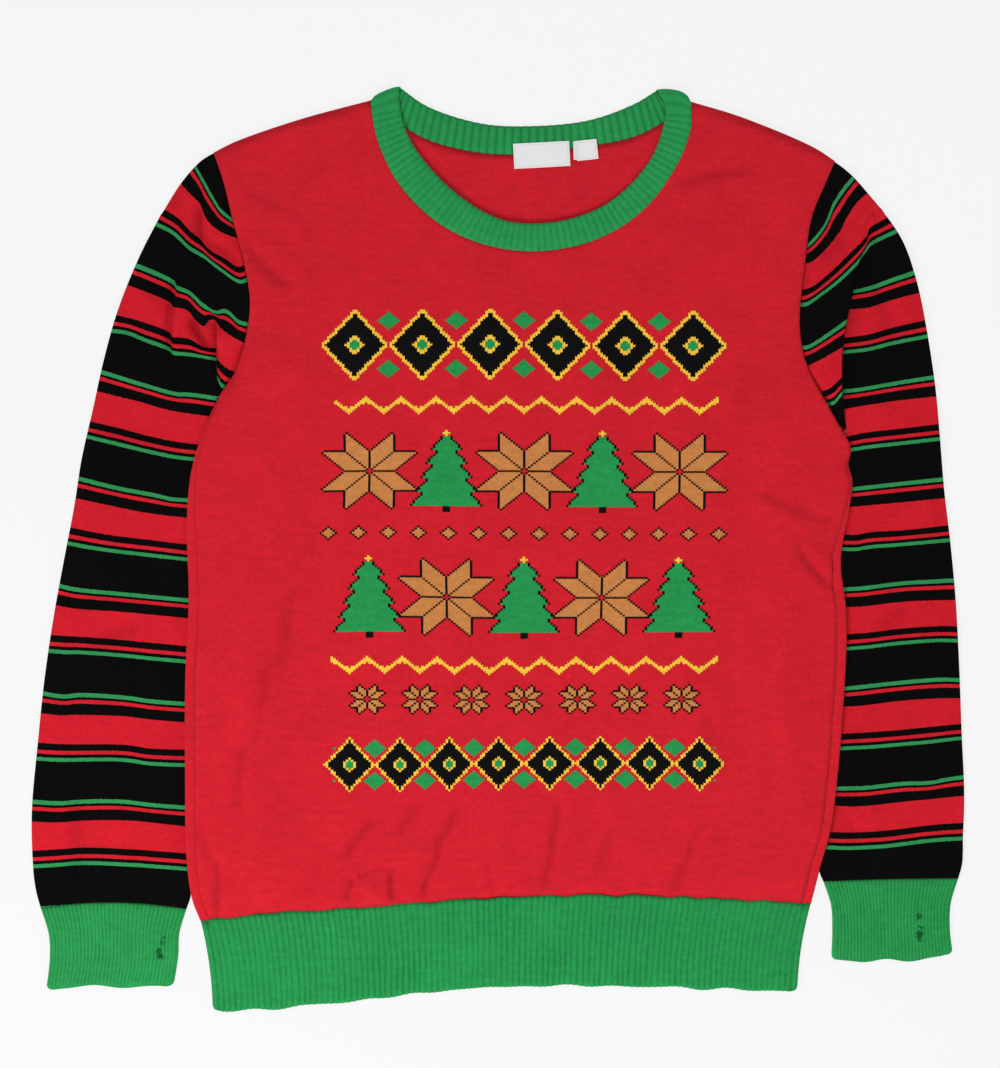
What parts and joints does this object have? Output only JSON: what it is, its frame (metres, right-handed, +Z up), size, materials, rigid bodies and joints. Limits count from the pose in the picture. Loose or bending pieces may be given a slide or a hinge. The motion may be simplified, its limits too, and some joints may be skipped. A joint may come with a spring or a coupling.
{
  "type": "christmas sweater",
  "caption": "Crew-neck jersey pullover laid flat, with striped sleeves, raised rib collar, cuffs and hem, turned side folds and bare neck labels.",
  "frame": {"origin": "on the floor, below the middle of the flat outline", "axes": "+Z up out of the front of the garment, +Y towards the neck, +X to the viewer's right"},
  "size_m": [0.7268, 0.717, 0.0095],
  "materials": {
    "jersey_red": "matte fine jersey knit",
    "jersey_striped": "matte fine jersey knit in black, red and green stripes",
    "rib_green": "matte rib knit",
    "label_white": "smooth woven label, bare"
  },
  "bodies": {
    "root": {"body_front": "jersey_red", "body_back": "jersey_red", "hem_front": "rib_green", "hem_back": "rib_green", "sleeve_left": "jersey_striped", "sleeve_right": "jersey_striped", "cuff_left": "rib_green", "cuff_right": "rib_green", "collar": "rib_green", "label_main": "label_white", "label_size": "label_white"}
  },
  "joints": []
}
